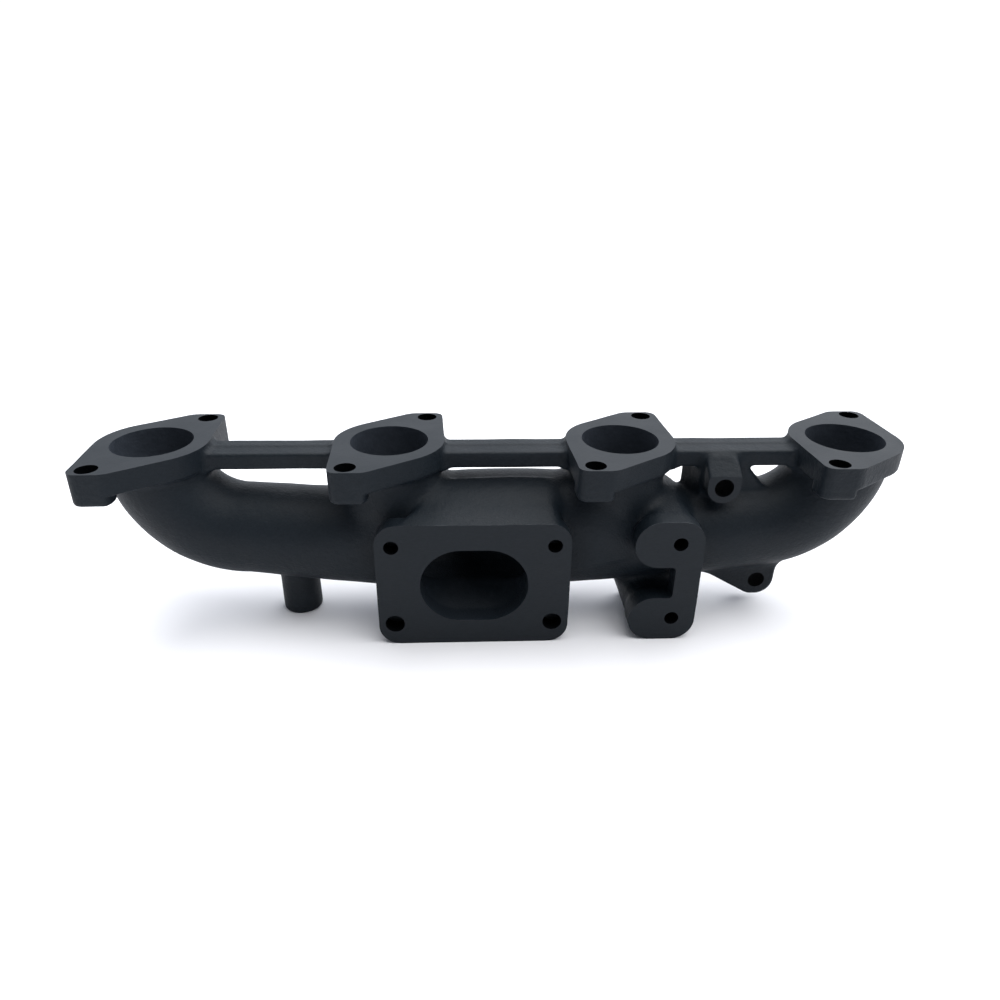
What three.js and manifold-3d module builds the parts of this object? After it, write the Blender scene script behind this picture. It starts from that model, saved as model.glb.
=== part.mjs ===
// Exhaust manifold of an in-line four-cylinder diesel engine, cast in iron and painted.
//
// Units are millimetres. +X runs along the manifold, +Y points to its back and +Z up to the
// ports. The origin is on the ground, under the middle of the row of ports. The casting is
// divided at its sections into separate solids, with a small gap at each section.
import * as THREE from 'three';
import { mergeVertices } from 'three/addons/utils/BufferGeometryUtils.js';
import Module from 'manifold-3d';

const wasm = await Module();
wasm.setup();
const { Manifold, Mesh } = wasm;

// ---- Driving dimensions ----

const GAP = 0.3;              // between neighbouring solids
const WALL = 4.4;             // thickness of the gas passage's wall
const ARC_STEPS = 5;          // points on each rounded corner
const EDGE_STEPS = 2;         // points on each small rounded edge
const TUBE_STEPS = 6;         // points on each quarter of a round section
const HOLE_STEPS = 4;         // points on each quarter of a drilled hole
const OVER = 1;               // how far a cutter reaches past the face that it cuts
const LAP = 0.2;              // overlap of the lengths that make up the gas passage
const SAME_POINT = 1e-4;      // corners of a mesh this close are one

// Port flanges, which bolt to the cylinder head.
const PORT_X = [-180, -60, 60, 180];
const PORT_TOP = 100;
const PORT_BORE = 20;
const PORT_PLATE = 12;        // plate thickness
const PORT_EAR = 16.6;        // thickness at the stud holes
const PORT_RIM = 28.5;        // round the bore
const PORT_HALF_LENGTH = 40.3;
const PORT_LEAN = THREE.MathUtils.degToRad(3.3);     // of the side edges
const PORT_SLANT = THREE.MathUtils.degToRad(34.3);   // of the edges from the ears to the rim
const PORT_CORNER = { sharp: 5, blunt: 10 };
const STUD = { x: 18, y: 34, hole: 5.25, padY: 31.4, pad: 8.8 };

// Log tube under the flanges. Each station gives x, the height of its bottom and of its top,
// its half width and its corner radius.
const LOG_STATIONS = [
  [-136.0, 26.2, 75.0, 24.4, 24.3],
  [-120.0, 23.9, 73.6, 24.9, 24.7],
  [-90.0, 19.8, 72.0, 25.3, 25.2],
  [-60.0, 18.0, 76.0, 25.4, 25.3],
  [-28.0, 17.5, 81.7, 25.4, 25.3],
  [28.0, 18.2, 81.7, 25.4, 25.3],
  [60.0, 19.6, 75.0, 25.4, 25.3],
  [90.0, 21.0, 71.4, 25.0, 24.9],
  [118.0, 23.8, 73.4, 24.8, 24.7],
  [136.0, 26.2, 75.0, 24.4, 24.3],
];
const LOG_SAMPLES = 24;       // rings along the whole log
const LOG_CUTS = [-136, -44, 34, 136];

// End elbows, from the outer ports into the log.
const BEND = { x: 136, z: 94.4, radius: 44, tube: 24.4, steps: 7 };

// Inner runners: half widths along X and Y at each height.
const RUNNER_STATIONS = [
  [44, 31.0, 24.2],
  [62, 29.0, 24.3],
  [72, 25.4, 24.4],
  [80, 24.4, 24.4],
  [85, 24.6, 24.6],
  [87.7, 25.8, 25.8],
];
const RUNNER_BORE_BOTTOM = 50;

// Outlet flange, which carries the exhaust pipe, and the neck behind it.
const OUTLET = {
  x: -17.2, halfWidth: 49.4, height: 70.5, corner: 11, front: -38.8, back: -28.8,
};
const OUTLET_PORT = { x: -16.9, z: 35.2, halfWidth: 27.7, halfHeight: 21 };
const OUTLET_PASSAGE_END = { y: -8, lift: 10, shrink: 3 };
const OUTLET_HOLES = [
  { dx: -41, z: 58.2, radius: 3.75 },
  { dx: 41, z: 58.2, radius: 3.75 },
  { dx: -41, z: 12.6, radius: 5 },
  { dx: 41, z: 12.6, radius: 5 },
];
const OUTLET_HOLE_BOTTOM = -29.8;
const NECK = {
  back: -4,
  frontCorners: [[-50, 5, 12], [16, 5, 12], [20, 73, 12], [-54, 73, 12]],
  backCorners: [[-38, 20, 16], [32, 20, 16], [32, 82.3, 16], [-38, 82.3, 16]],
};

// Tie bars between neighbouring port flanges: cross-section as [y, z, corner radius].
const TIE_BOTTOM = 88;
const TIE_SECTION = [
  [-7.8, TIE_BOTTOM, 0.8],
  [8.8, TIE_BOTTOM, 0.8],
  [9.4, 97.1, 1.5],
  [0.8, 97.1, 0.2],
  [0.2, 96.6, 0.2],
  [-8.4, 96.0, 1.5],
];

// C-shaped bracket beside the outlet, and the two arms that carry it. Each arm is skinned
// between a front and a back outline with four corners.
const BRACKET = {
  left: 64.2, right: 99.7, top: 70.8, back: -27.3, lobe: 13, corner: 12,
  notchLow: 26, notchHigh: 44.6, notchEnd: 86.4, notchCorner: 2,
};
const BRACKET_HOLES = { x: 87.3, z: [58.2, 13.4], radius: 3.75, bottom: -24 };
const ARM_BACK = 8;
const UPPER_ARM = {
  front: [[65.2, 45.6, 11], [98.7, 45.6, 11], [98.7, 70.3, 11], [65.2, 70.3, 11]],
  back: [[68, 60, 6], [97, 60, 6], [97, 76, 6], [68, 76, 6]],
};
const LOWER_ARM = {
  front: [[65.2, 0, 11], [98.7, 0, 11], [98.7, 25, 11], [65.2, 25, 11]],
  back: [[70, 0, 4], [94, 0, 4], [97, 30, 4], [55, 30, 4]],
};

// Boss for a pipe clip, and the web that carries it under the tie bar.
const BOSS = {
  x: 112, z: 80.4, radius: 8.6, hole: 5, front: -20, back: -8.7, top: 92.4, corner: 2,
};
const WEB_TOP = TIE_BOTTOM - GAP;
const WEB = {
  front: -8.2,
  back: 8,
  outline: [
    [97, 66, 1],
    [140, 66, 1],
    [140, 73.5, 2],
    [127, WEB_TOP - 0.8, 1],
    [127, WEB_TOP, 0.2],
    [97, WEB_TOP, 1],
  ],
};

// Lug under the right end of the log, and the support peg under its left end.
const LUG = {
  x: 143.2,
  z: 16.8,
  hole: 4.65,
  halfDepth: 8,
  outline: [
    [110, 24, 1],
    [139.2, 7.1, 9.7],
    [152.9, 7.1, 9.5],
    [153.5, 22.8, 6],
    [156, 45, 1],
    [110, 45, 1],
  ],
};
const PEG = { x: -113.8, radius: 10.6, bevel: 1.2, top: 40 };

// ---- Finishes ----

const rawPaint = { color: 0x2c3036, roughness: 0.62, metalness: 0.25 };
const facedPaint = { color: 0x3a3f46, roughness: 0.5, metalness: 0.3 };

// ---- Outlines ----

// Rounds the corners of a counter-clockwise outline whose corners are [x, y, radius]. The
// points on a corner run from one straight to the next, or keep an inset from both.
function roundCorners(corners, steps = ARC_STEPS, inset = 0) {
  const count = corners.length;
  return corners.flatMap(([x, y, radius], i) => {
    const before = corners[(i + count - 1) % count];
    const after = corners[(i + 1) % count];
    const corner = new THREE.Vector2(x, y);
    const back = new THREE.Vector2(before[0] - x, before[1] - y).normalize();
    const ahead = new THREE.Vector2(after[0] - x, after[1] - y).normalize();
    const half = Math.acos(THREE.MathUtils.clamp(back.dot(ahead), -1, 1)) / 2;
    const middle = back.clone().add(ahead).normalize();
    const centre = corner.clone().addScaledVector(middle, radius / Math.sin(half));
    const start = corner.clone().addScaledVector(back, radius / Math.tan(half)).sub(centre);
    const turn = Math.sign(ahead.cross(back)) * (Math.PI - 2 * half);
    return Array.from({ length: steps }, (_, k) => {
      const share = THREE.MathUtils.mapLinear(k, 0, steps - 1, inset, 1 - inset);
      const angle = start.angle() + turn * share;
      return new THREE.Vector2(
        centre.x + radius * Math.cos(angle),
        centre.y + radius * Math.sin(angle),
      );
    });
  });
}

function roundedBox(left, bottom, right, top, radius) {
  return roundCorners([
    [left, bottom, radius],
    [right, bottom, radius],
    [right, top, radius],
    [left, top, radius],
  ]);
}

// Round section whose corners take up nearly all of each side. Its points are evenly spread.
function roundSection(left, bottom, right, top, radius, steps = TUBE_STEPS) {
  return roundCorners([
    [left, bottom, radius],
    [right, bottom, radius],
    [right, top, radius],
    [left, top, radius],
  ], steps, 0.5 / steps);
}

function circle(x, y, radius, steps = TUBE_STEPS) {
  return roundSection(x - radius, y - radius, x + radius, y + radius, radius, steps);
}

// Port flange seen from above. Its side edges and its slanted edges are all tangent to the
// rim round the bore, and the short ends cross them at the stud ears. The same outline fits
// when it is turned half round.
function portOutline(x, grow) {
  const rim = PORT_RIM + grow;
  const length = PORT_HALF_LENGTH + grow;
  const ear = (rim - length * Math.sin(PORT_LEAN)) / Math.cos(PORT_LEAN);
  const blunt = (length * Math.cos(PORT_SLANT) - rim) / Math.sin(PORT_SLANT);
  const slantNormal = PORT_SLANT - Math.PI / 2;
  const middle = (slantNormal + PORT_LEAN) / 2;
  const reach = rim / Math.cos((PORT_LEAN - slantNormal) / 2);
  const shoulder = { x: reach * Math.cos(middle), y: reach * Math.sin(middle) };
  return roundCorners([
    [x - ear, -length, PORT_CORNER.sharp],
    [x - blunt, -length, PORT_CORNER.blunt],
    [x + shoulder.x, shoulder.y, rim],
    [x + ear, length, PORT_CORNER.sharp],
    [x + blunt, length, PORT_CORNER.blunt],
    [x - shoulder.x, -shoulder.y, rim],
  ]);
}

// ---- Solids ----

// Turns a closed three.js geometry into a solid that can be joined and cut.
function toSolid(geometry) {
  const bare = geometry.clone();
  bare.deleteAttribute('normal');
  bare.deleteAttribute('uv');
  const merged = mergeVertices(bare, SAME_POINT);
  return new Manifold(new Mesh({
    numProp: 3,
    vertProperties: new Float32Array(merged.attributes.position.array),
    triVerts: new Uint32Array(merged.index.array),
  }));
}

function extrude(outline, depth, matrix) {
  const settings = { depth, bevelEnabled: false };
  const geometry = new THREE.ExtrudeGeometry(new THREE.Shape(outline), settings);
  return toSolid(geometry.applyMatrix4(matrix));
}

// Prism along Z from an outline in X and Y.
function prismZ(outline, low, high) {
  return extrude(outline, high - low, new THREE.Matrix4().makeTranslation(0, 0, low));
}

// Prism along Y from an outline in X and Z.
function prismY(outline, front, back) {
  const matrix = new THREE.Matrix4().makeRotationX(Math.PI / 2).setPosition(0, back, 0);
  return extrude(outline, back - front, matrix);
}

// Prism along X from an outline in Y and Z.
function prismX(outline, left, right) {
  const matrix = new THREE.Matrix4().makeBasis(
    new THREE.Vector3(0, 1, 0),
    new THREE.Vector3(0, 0, 1),
    new THREE.Vector3(1, 0, 0),
  ).setPosition(left, 0, 0);
  return extrude(outline, right - left, matrix);
}

// Skins a row of rings, each with as many points as the next, and closes both ends.
function skin(rings) {
  const sides = rings[0].length;
  const last = rings.length - 1;
  const ends = [rings[0], rings[last]].map((ring) => {
    const sum = ring.reduce((total, point) => total.add(point), new THREE.Vector3());
    return sum.divideScalar(sides);
  });
  const firstEnd = rings.length * sides;
  const index = [];
  for (let j = 0; j < sides; j += 1) {
    const next = (j + 1) % sides;
    for (let i = 0; i < last; i += 1) {
      const here = i * sides;
      const there = here + sides;
      index.push(here + j, here + next, there + j);
      index.push(here + next, there + next, there + j);
    }
    index.push(firstEnd, next, j);
    index.push(firstEnd + 1, last * sides + j, last * sides + next);
  }
  const geometry = new THREE.BufferGeometry().setFromPoints([...rings.flat(), ...ends]);
  geometry.setIndex(index);
  const solid = toSolid(geometry);
  return solid.volume() > 0 ? solid : toSolid(flipped(geometry));
}

function flipped(geometry) {
  const turned = geometry.clone();
  turned.setIndex([...geometry.index.array].reverse());
  return turned;
}

// Value of every column of a station table at the given place in its first column.
function stationAt(table, place) {
  const last = table.length - 1;
  const found = table.findIndex((row) => row[0] >= place);
  const upper = found < 0 ? last : Math.max(found, 1);
  const low = table[upper - 1];
  const high = table[upper];
  const t = THREE.MathUtils.clamp((place - low[0]) / (high[0] - low[0]), 0, 1);
  const beforeLow = table[Math.max(upper - 2, 0)];
  const afterHigh = table[Math.min(upper + 1, last)];
  return low.map((value, column) => {
    const run = high[0] - low[0];
    const slopeLow = (high[column] - beforeLow[column]) / (high[0] - beforeLow[0]);
    const slopeHigh = (afterHigh[column] - value) / (afterHigh[0] - low[0]);
    return hermite(value, high[column], slopeLow * run, slopeHigh * run, t);
  });
}

function hermite(from, to, slopeFrom, slopeTo, t) {
  const t2 = t * t;
  const t3 = t2 * t;
  return from * (2 * t3 - 3 * t2 + 1) + slopeFrom * (t3 - 2 * t2 + t)
    + to * (3 * t2 - 2 * t3) + slopeTo * (t3 - t2);
}

// The log between two places along X, larger than the casting by grow.
function logTube(left, right, grow) {
  const share = (right - left) / (LOG_CUTS[3] - LOG_CUTS[0]);
  const steps = Math.round(LOG_SAMPLES * share);
  const rings = Array.from({ length: steps + 1 }, (_, i) => {
    const place = left + (right - left) * i / steps;
    const [, bottom, top, half, radius] = stationAt(LOG_STATIONS, place);
    const section = roundSection(
      -half - grow, bottom - grow, half + grow, top + grow, radius + grow,
    );
    return section.map(({ x: y, y: z }) => new THREE.Vector3(place, y, z));
  });
  return skin(rings);
}

// End elbow: down from the given height, then round a quarter bend to the end of the log
// and past it by reach.
function elbow(side, radius, top, reach) {
  const stops = [[0, top - BEND.z, 0]];
  for (let i = 0; i <= BEND.steps; i += 1) {
    stops.push([Math.PI / 2 * i / BEND.steps, 0, 0]);
  }
  if (reach > 0) {
    stops.push([Math.PI / 2, 0, reach]);
  }
  return skin(stops.map(([angle, rise, run]) => {
    const outward = new THREE.Vector3(Math.cos(angle) * side, 0, -Math.sin(angle));
    const centre = new THREE.Vector3((BEND.x - run) * side, 0, BEND.z + rise);
    centre.addScaledVector(outward, BEND.radius);
    return circle(0, 0, radius).map(({ x, y }) => {
      const point = centre.clone().addScaledVector(outward, x);
      point.y += y;
      return point;
    });
  }));
}

function innerRunner(x, grow) {
  const rings = RUNNER_STATIONS.map(([z, halfX, halfY]) => {
    const width = halfX + grow;
    const depth = halfY + grow;
    const section = circle(0, 0, 1);
    return section.map((point) => new THREE.Vector3(x + point.x * width, point.y * depth, z));
  });
  return skin(rings);
}

// Passage from the outlet port back and up into the log.
function outletPassage() {
  const { x, z, halfWidth, halfHeight } = OUTLET_PORT;
  const stations = [
    [OUTLET.front - OVER, 0, 0],
    [OUTLET.back, 0, 0],
    [OUTLET_PASSAGE_END.y, OUTLET_PASSAGE_END.lift, OUTLET_PASSAGE_END.shrink],
  ];
  return skin(stations.map(([y, lift, shrink]) => {
    const width = halfWidth - shrink;
    const height = halfHeight - shrink / 2;
    const middle = z + lift;
    const section = roundSection(x - width, middle - height, x + width, middle + height, height);
    return ringAtY(section, y);
  }));
}

function ringAtY(outline, y) {
  return outline.map((point) => new THREE.Vector3(point.x, y, point.y));
}

function largestPiece(solid) {
  return solid.decompose().reduce((best, piece) => {
    return piece.volume() > best.volume() ? piece : best;
  });
}

function union(solids) {
  return solids.reduce((total, solid) => total.add(solid));
}

// ---- Gas passage through the whole casting ----

function gasPassage() {
  const ends = [-1, 1].map((side) => elbow(side, PORT_BORE, PORT_TOP + OVER, LAP));
  const middle = [PORT_X[1], PORT_X[2]].map((x) => {
    return prismZ(circle(x, 0, PORT_BORE), RUNNER_BORE_BOTTOM, PORT_TOP + OVER);
  });
  const log = logTube(LOG_CUTS[0] - LAP, LOG_CUTS[3] + LAP, -WALL);
  return union([...ends, ...middle, log, outletPassage()]);
}

// ---- Envelopes that neighbours are cut back to ----

const passage = gasPassage();
const logEnvelope = logTube(LOG_CUTS[0], LOG_CUTS[3], GAP);
const elbowEnvelope = elbow(1, BEND.tube + GAP, PORT_TOP, 0);
const runnerEnvelopes = [PORT_X[1], PORT_X[2]].map((x) => innerRunner(x, GAP));
const flangeEnvelopes = PORT_X.map((x) => {
  return prismZ(portOutline(x, GAP), TIE_BOTTOM - OVER, PORT_TOP + OVER);
});

// ---- Sub-parts ----

function portFlange(x) {
  const plate = prismZ(portOutline(x, 0), PORT_TOP - PORT_PLATE, PORT_TOP);
  const block = prismZ(portOutline(x, 0), PORT_TOP - PORT_EAR, PORT_TOP);
  const pads = union([-1, 1].map((side) => {
    const pad = circle(x + side * STUD.x, side * STUD.padY, STUD.pad);
    return prismZ(pad, PORT_TOP - PORT_EAR, PORT_TOP);
  }));
  const holes = union([-1, 1].map((side) => {
    const hole = circle(x + side * STUD.x, side * STUD.y, STUD.hole, HOLE_STEPS);
    return prismZ(hole, 0, PORT_TOP + OVER);
  }));
  const bore = prismZ(circle(x, 0, PORT_BORE), 0, PORT_TOP + OVER);
  return plate.add(block.intersect(pads)).subtract(holes).subtract(bore);
}

function endRunner(side) {
  return elbow(side, BEND.tube, PORT_TOP, 0)
    .trimByPlane([0, 0, -1], GAP + PORT_PLATE - PORT_TOP)
    .subtract(passage);
}

function middleRunner(x) {
  return innerRunner(x, 0).subtract(logEnvelope).subtract(passage);
}

function logSection(i) {
  return logTube(LOG_CUTS[i] + GAP / 2, LOG_CUTS[i + 1] - GAP / 2, 0).subtract(passage);
}

function tieBar(i) {
  return prismX(roundCorners(TIE_SECTION, EDGE_STEPS), PORT_X[i], PORT_X[i + 1])
    .subtract(flangeEnvelopes[i])
    .subtract(flangeEnvelopes[i + 1]);
}

function outletFlange() {
  const { x, halfWidth, height, corner, front, back } = OUTLET;
  const outline = roundedBox(x - halfWidth, 0, x + halfWidth, height, corner);
  const holes = union(OUTLET_HOLES.map(({ dx, z, radius }) => {
    return prismY(circle(x + dx, z, radius, HOLE_STEPS), front - OVER, OUTLET_HOLE_BOTTOM);
  }));
  return prismY(outline, front, back).subtract(holes).subtract(passage);
}

function outletNeck() {
  const front = ringAtY(roundCorners(NECK.frontCorners), OUTLET.back + GAP);
  const back = ringAtY(roundCorners(NECK.backCorners), NECK.back);
  return largestPiece(skin([front, back])
    .subtract(logEnvelope)
    .subtract(runnerEnvelopes[0])
    .subtract(passage));
}

function bracketHoles() {
  const { x, z, radius, bottom } = BRACKET_HOLES;
  return union(z.map((height) => {
    return prismY(circle(x, height, radius, HOLE_STEPS), OUTLET.front - OVER, bottom);
  }));
}

function bracketPlate() {
  const { left, right, top, lobe, corner, notchLow, notchHigh, notchEnd, notchCorner } = BRACKET;
  const outline = roundCorners([
    [left, 0, lobe],
    [right, 0, corner],
    [right, top, corner],
    [left, top, lobe],
    [left, notchHigh, lobe],
    [notchEnd, notchHigh, notchCorner],
    [notchEnd, notchLow, notchCorner],
    [left, notchLow, lobe],
  ]);
  return prismY(outline, OUTLET.front, BRACKET.back).subtract(bracketHoles());
}

// The lower arm widens towards the log, and its flat foot reaches back under it.
function bracketArm(arm) {
  const front = ringAtY(roundCorners(arm.front), BRACKET.back + GAP);
  const back = ringAtY(roundCorners(arm.back), ARM_BACK);
  return largestPiece(skin([front, back])
    .subtract(bracketHoles())
    .subtract(logEnvelope)
    .subtract(runnerEnvelopes[1]));
}

function pipeBoss() {
  const { x, z, radius, hole, front, back, top, corner } = BOSS;
  const outline = roundCorners([
    [x - radius, z - radius, radius],
    [x + radius, z - radius, radius],
    [x + radius, top, corner],
    [x - radius, top, corner],
  ]);
  return prismY(outline, front, back)
    .subtract(prismY(circle(x, z, hole, HOLE_STEPS), front - OVER, back + OVER))
    .subtract(logEnvelope);
}

function bossWeb() {
  const { front, back, outline } = WEB;
  return prismY(roundCorners(outline, EDGE_STEPS), front, back)
    .subtract(prismY(circle(BOSS.x, BOSS.z, BOSS.hole, HOLE_STEPS), front - OVER, back + OVER))
    .subtract(logEnvelope)
    .subtract(elbowEnvelope);
}

function lowerLug() {
  const { x, z, hole, halfDepth, outline } = LUG;
  return prismY(roundCorners(outline), -halfDepth, halfDepth)
    .subtract(prismY(circle(x, z, hole, HOLE_STEPS), -halfDepth - OVER, halfDepth + OVER))
    .subtract(logEnvelope)
    .subtract(elbowEnvelope);
}

function supportPeg() {
  const { x, radius, bevel, top } = PEG;
  const levels = [[0, radius - bevel], [bevel, radius], [top, radius]];
  const rings = levels.map(([z, size]) => {
    return circle(x, 0, size).map((point) => new THREE.Vector3(point.x, point.y, z));
  });
  return skin(rings).subtract(logEnvelope);
}

// ---- Scene graph ----

function toMesh(name, solid, finish) {
  const { vertProperties, triVerts } = solid.getMesh();
  const geometry = new THREE.BufferGeometry();
  geometry.setAttribute('position', new THREE.BufferAttribute(vertProperties, 3));
  geometry.setIndex(new THREE.BufferAttribute(triVerts, 1));
  geometry.computeVertexNormals();
  const mesh = new THREE.Mesh(geometry, new THREE.MeshStandardMaterial(finish));
  mesh.name = name;
  return mesh;
}

const manifold = new THREE.Group();

PORT_X.forEach((x, i) => {
  manifold.add(toMesh(`port_flange_${i + 1}`, portFlange(x), facedPaint));
});
for (let i = 0; i < PORT_X.length - 1; i += 1) {
  manifold.add(toMesh(`tie_bar_${i + 1}_${i + 2}`, tieBar(i), rawPaint));
}

const castPieces = {
  runner_1: endRunner(-1),
  runner_2: middleRunner(PORT_X[1]),
  runner_3: middleRunner(PORT_X[2]),
  runner_4: endRunner(1),
  collector_left: logSection(0),
  collector_centre: logSection(1),
  collector_right: logSection(2),
  outlet_neck: outletNeck(),
  bracket_upper_arm: bracketArm(UPPER_ARM),
  bracket_lower_arm: bracketArm(LOWER_ARM),
  pipe_boss: pipeBoss(),
  boss_web: bossWeb(),
  lower_lug: lowerLug(),
  support_peg: supportPeg(),
};
Object.entries(castPieces).forEach(([name, solid]) => {
  manifold.add(toMesh(name, solid, rawPaint));
});

manifold.add(toMesh('outlet_flange', outletFlange(), facedPaint));
manifold.add(toMesh('bracket_plate', bracketPlate(), facedPaint));

export default manifold;
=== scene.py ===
"""Exhaust manifold: the looks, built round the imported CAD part.

The real object is one iron casting. Its shape is worked out here as a field of distances, in
which neighbouring walls meet in cast fillets. The field gives one skin, the faces that a mill
has cut are cut flat, and the skin is then divided into the sub-parts of the CAD model. Lengths
are in millimetres until the skin is made, and in metres after that.
"""
import math

import bmesh
import bpy
import numpy as np
import openvdb
from mathutils import Matrix, Vector


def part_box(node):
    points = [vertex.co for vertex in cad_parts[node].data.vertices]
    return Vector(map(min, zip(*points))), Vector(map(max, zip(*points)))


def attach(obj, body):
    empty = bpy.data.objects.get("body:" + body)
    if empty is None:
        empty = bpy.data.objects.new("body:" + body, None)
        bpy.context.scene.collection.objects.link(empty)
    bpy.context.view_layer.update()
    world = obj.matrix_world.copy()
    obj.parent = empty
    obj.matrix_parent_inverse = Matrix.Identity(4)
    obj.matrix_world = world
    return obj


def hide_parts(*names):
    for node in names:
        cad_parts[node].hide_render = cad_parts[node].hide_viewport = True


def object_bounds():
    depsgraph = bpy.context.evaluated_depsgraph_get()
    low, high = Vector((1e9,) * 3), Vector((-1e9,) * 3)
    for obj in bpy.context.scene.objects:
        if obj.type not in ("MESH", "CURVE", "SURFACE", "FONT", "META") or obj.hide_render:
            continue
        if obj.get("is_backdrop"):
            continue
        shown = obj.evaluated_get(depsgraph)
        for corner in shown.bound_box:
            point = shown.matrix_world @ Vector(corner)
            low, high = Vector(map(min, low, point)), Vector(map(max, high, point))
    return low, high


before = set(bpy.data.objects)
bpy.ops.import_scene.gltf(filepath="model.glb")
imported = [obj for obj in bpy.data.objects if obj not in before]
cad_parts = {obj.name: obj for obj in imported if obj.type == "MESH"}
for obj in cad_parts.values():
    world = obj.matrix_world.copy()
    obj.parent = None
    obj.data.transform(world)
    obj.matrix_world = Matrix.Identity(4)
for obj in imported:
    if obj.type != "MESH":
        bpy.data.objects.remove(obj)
cad_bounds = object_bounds()


def cad_box(node):
    """Lowest and highest corner of a CAD node, in millimetres."""
    low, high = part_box(node)
    return np.array(low) * 1000, np.array(high) * 1000


# ---- Sizes from the frame ----

PORT_BOXES = [cad_box(f"port_flange_{i}") for i in range(1, 5)]
PORT_X = [(low[0] + high[0]) / 2 for low, high in PORT_BOXES]
PORT_TOP = PORT_BOXES[0][1][2]
PORT_EAR_BOTTOM = PORT_BOXES[0][0][2]
PORT_HALF_LENGTH = PORT_BOXES[0][1][1]
OUTLET_LOW, OUTLET_HIGH = cad_box("outlet_flange")
BRACKET_LOW, BRACKET_HIGH = cad_box("bracket_plate")
TIE_LOW, TIE_HIGH = cad_box("tie_bar_1_2")
BOSS_LOW, BOSS_HIGH = cad_box("pipe_boss")
LUG_LOW, LUG_HIGH = cad_box("lower_lug")
PEG_LOW, PEG_HIGH = cad_box("support_peg")

# ---- Sizes of the casting that the frame's boxes don't give ----

STOCK = 2.0     # left outside each face for the mill
WALL = 4.4
PORT_BORE = 20.0
PORT_PLATE = 12.0
PORT_RIM = 28.5
PORT_LEAN = math.radians(3.3)
PORT_SLANT = math.radians(34.3)
PORT_SHARP_CORNER, PORT_BLUNT_CORNER = 5, 10
STUD_X, STUD_Y, STUD_HOLE = 18.0, 34.0, 5.25
EAR, EAR_EDGE = 10.2, 1.8
EAR_BOTTOM = PORT_EAR_BOTTOM - 0.6
BEND_X, BEND_Z, BEND_RADIUS, TUBE = 136.0, 94.4, 44.0, 24.4

# Log: x, bottom, top, half width and corner radius.
LOG_STATIONS = np.array([
    (-136, 26.0, 74.8, 24.4, 24.3),
    (-120, 23.9, 73.6, 24.9, 24.7),
    (-90, 19.8, 72.0, 25.3, 25.2),
    (-60, 18.0, 74.6, 25.4, 23.0),
    (-28, 17.5, 79.2, 25.4, 22.0),
    (28, 18.2, 79.2, 25.4, 22.0),
    (60, 19.6, 72.8, 25.4, 23.0),
    (90, 21.0, 70.8, 25.0, 24.9),
    (118, 23.8, 73.4, 24.8, 24.7),
    (136, 26.0, 74.8, 24.4, 24.3),
])
LOG_CUTS = (-136, -44, 34, 136)

# Inner runners: height, and half widths along X and Y.
RUNNER_STATIONS = np.array([
    (44, 31.0, 24.2),
    (62, 29.0, 24.3),
    (72, 25.4, 24.4),
    (80, 24.4, 24.4),
    (104, 24.4, 24.4),
])

# Box round an inner runner, from its port's middle. It also holds the wide fillet.
RUNNER_BOX_X, RUNNER_BOX_Y, RUNNER_BOX_BOTTOM = 32, 26, 40

OUTLET_CORNER = 11.0
OUTLET_PORT_X, OUTLET_PORT_Z = -16.9, 35.2
OUTLET_PORT_HALF_WIDTH, OUTLET_PORT_HALF_HEIGHT = 27.7, 21.0
OUTLET_HOLES = [(-41, 58.2, 3.75), (41, 58.2, 3.75), (-41, 12.6, 5.0), (41, 12.6, 5.0)]
OUTLET_HOLE_BOTTOM = -29.8
OUTLET_BORE_END, OUTLET_BORE_LIFT = -8, 10
RUNNER_BORE_BOTTOM = 50

BRACKET_LOBE, BRACKET_CORNER, NOTCH_CORNER = 13.0, 12.0, 2.0
NOTCH_LOW, NOTCH_HIGH, NOTCH_END = 26.0, 44.6, 86.4
BRACKET_HOLE_X, BRACKET_HOLE_Z, BRACKET_HOLE, BRACKET_HOLE_BOTTOM = 87.3, (58.2, 13.4), 3.75, -24

# Neck of the outlet and arms of the bracket, at their front and their back end: x, z and radius.
NECK_FRONT = [(-56, 6, 12), (16, 6, 12), (30, 70.0, 6), (-62, 70.0, 6)]
NECK_BACK = [(-38, 20, 12), (26, 20, 12), (25, 78.8, 5), (-32, 78.8, 5)]
NECK_BACK_Y = -7
UPPER_ARM_FRONT = [(68.5, 46.6, 9), (97.7, 46.6, 9), (97.7, 69.4, 9), (68.5, 69.4, 9)]
UPPER_ARM_BACK = [(76, 58, 7), (94, 58, 7), (93, 77, 7), (77, 77, 7)]
LOWER_ARM_FRONT = [(66.2, 0, 10), (97.7, 0, 10), (97.7, 24, 10), (66.2, 24, 10)]
LOWER_ARM_BACK = [(70, 0, 4), (94, 0, 4), (97, 30, 4), (55, 30, 4)]
ARM_FRONT_Y, ARM_BACK_Y = BRACKET_LOW[1] + 4, 8

# Tie bar, across its length: y, z and radius. Its top has a step in the middle.
TIE_BOTTOM, TIE_TOP = TIE_LOW[2] - 0.8, TIE_HIGH[2]
TIE_SECTION = [
    (-7.8, TIE_BOTTOM, 1.2), (8.8, TIE_BOTTOM, 1.2), (9.4, TIE_TOP, 1.5),
    (0.9, TIE_TOP, 0.3), (0.1, TIE_TOP - 0.5, 0.3), (-8.4, TIE_TOP - 1.1, 1.2),
]

# Web under the tie bar, from the front: x, z and radius. Its left end slants in Y.
WEB_LEFT, WEB_FRONT_Y, WEB_BACK_Y = 96, -8.2, 7.5
WEB_SLANT, WEB_SLANT_LENGTH = 0.45, 1.1
WEB = [
    (WEB_LEFT, 62, 2), (140, 62, 2), (140, 73.5, 2),
    (127, TIE_LOW[2], 2), (127, 93, 2), (WEB_LEFT, 93, 2),
]

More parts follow.
